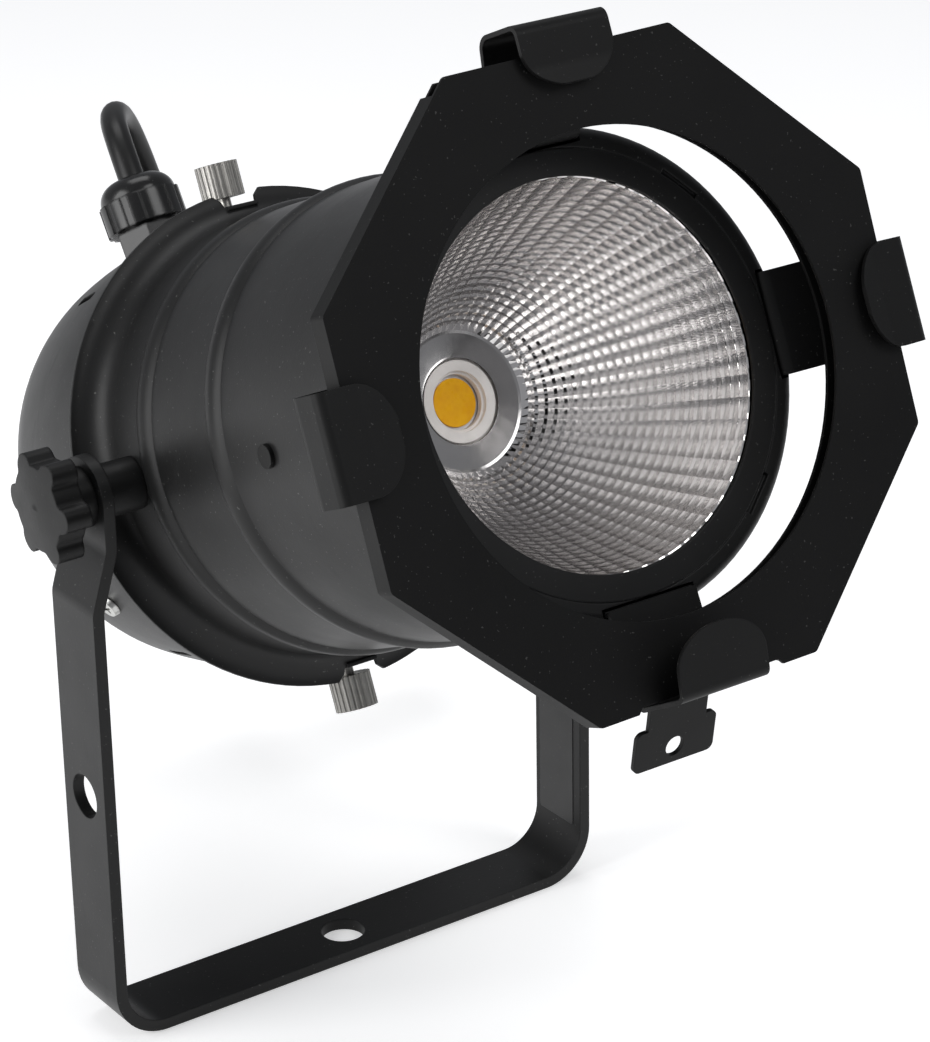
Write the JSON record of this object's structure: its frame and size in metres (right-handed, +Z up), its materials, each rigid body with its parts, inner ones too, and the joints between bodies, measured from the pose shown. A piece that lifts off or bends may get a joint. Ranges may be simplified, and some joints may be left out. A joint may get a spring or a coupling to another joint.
{
  "type": "par can light",
  "caption": "Short black stage spotlight can on a U-shaped hanging yoke, with a faceted reflector, a square-cornered eight-sided filter frame in clips, star knobs and a mains cord.",
  "frame": {"origin": "centre of the bolt hole in the underside of the yoke's cross-bar", "axes": "+Z up from the cross-bar to the pivots, +X along the pivot axis to the side with the label, the light points to -Y and 24 degrees up at rest"},
  "size_m": [0.1749, 0.2679, 0.2481],
  "materials": {
    "powder_black": "black powder coat, satin",
    "gel_frame_black": "thin black paint, satin",
    "knob_plastic": "black satin moulding",
    "gland_nylon": "black nylon, glossy",
    "zinc_steel": "zinc plated",
    "nickel_steel": "nickel plated, straight knurl",
    "bright_aluminium": "bright aluminised mirror facets",
    "sink_aluminium": "bare aluminium",
    "white_plastic": "white heat-proof plastic",
    "phosphor": "yellow phosphor under silicone",
    "driver_plastic": "light grey case",
    "cord_rubber": "black rubber sheath, semi-gloss",
    "seal_rubber": "black, matt",
    "plug_rubber": "black moulded rubber",
    "pin_brass": "nickel-plated brass pins",
    "lead_sheath": "insulated leads",
    "label_film": "plain dark grey label film, no print"
  },
  "bodies": {
    "yoke": {"yoke": "powder_black", "yoke_label": "label_film"},
    "head": {"can_body": "powder_black", "front_ring": "powder_black", "ring_screws": "zinc_steel", "rear_dome": "powder_black", "gland_body": "gland_nylon", "gland_locknut": "gland_nylon", "gland_nut": "gland_nylon", "gland_seal": "seal_rubber", "reflector": "bright_aluminium", "heat_sink": "sink_aluminium", "led_board": "sink_aluminium", "led_phosphor": "phosphor", "led_holder": "white_plastic", "holder_screws": "zinc_steel", "driver_bracket": "zinc_steel", "driver": "driver_plastic", "dome_screws": "zinc_steel", "cord_inner": "cord_rubber", "supply_leads": "lead_sheath", "led_leads": "lead_sheath", "clip_top": "powder_black", "clip_right": "powder_black", "clip_left": "powder_black", "clip_leg": "powder_black", "clip_rivets": "powder_black", "pivot_spacers": "knob_plastic", "pivot_nuts": "zinc_steel", "thumb_nuts": "zinc_steel", "power_cord": "cord_rubber", "cord_tail": "cord_rubber", "cord_hank": "cord_rubber", "cord_tie": "seal_rubber", "power_plug": "plug_rubber", "plug_pins": "pin_brass"},
    "filter_frame": {"filter_frame": "gel_frame_black", "filter_frame_back": "gel_frame_black"},
    "release_clip": {"clip_release": "powder_black"},
    "knob_left": {"knob_left": "knob_plastic", "knob_left_stud": "zinc_steel"},
    "knob_right": {"knob_right": "knob_plastic", "knob_right_stud": "zinc_steel"},
    "thumbscrew_top": {"thumbscrew_top": "nickel_steel"},
    "thumbscrew_bottom": {"thumbscrew_bottom": "nickel_steel"}
  },
  "joints": [
    {"name": "tilt", "type": "hinge", "parent": "yoke", "child": "head", "pos_m": [0, 0, 0.13265], "axis": [1, 0, 0], "range_deg": [-36, 66]},
    {"name": "frame_lift", "type": "slide", "parent": "head", "child": "filter_frame", "axis": [-0.0173, 0.3599, 0.9328], "range_m": [0, 0.0035]},
    {"name": "clip_release", "type": "hinge", "parent": "head", "child": "release_clip", "pos_m": [0, -0.11924, 0.13429], "axis": [1, 0, 0], "range_deg": [0, 15], "stiffness_Nm_per_rad": 2},
    {"name": "knob_left_turn", "type": "hinge", "parent": "head", "child": "knob_left", "pos_m": [-0.0748, 0, 0.13265], "axis": [-1, 0, 0], "continuous": true},
    {"name": "knob_right_turn", "type": "hinge", "parent": "head", "child": "knob_right", "pos_m": [0.0748, 0, 0.13265], "axis": [1, 0, 0], "continuous": true},
    {"name": "thumbscrew_top_turn", "type": "hinge", "parent": "head", "child": "thumbscrew_top", "pos_m": [0, 0.04131, 0.17994], "axis": [0, 0.4067, 0.9135], "continuous": true},
    {"name": "thumbscrew_bottom_turn", "type": "hinge", "parent": "head", "child": "thumbscrew_bottom", "pos_m": [0, -0.0075, 0.07031], "axis": [0, -0.4067, -0.9135], "continuous": true}
  ]
}
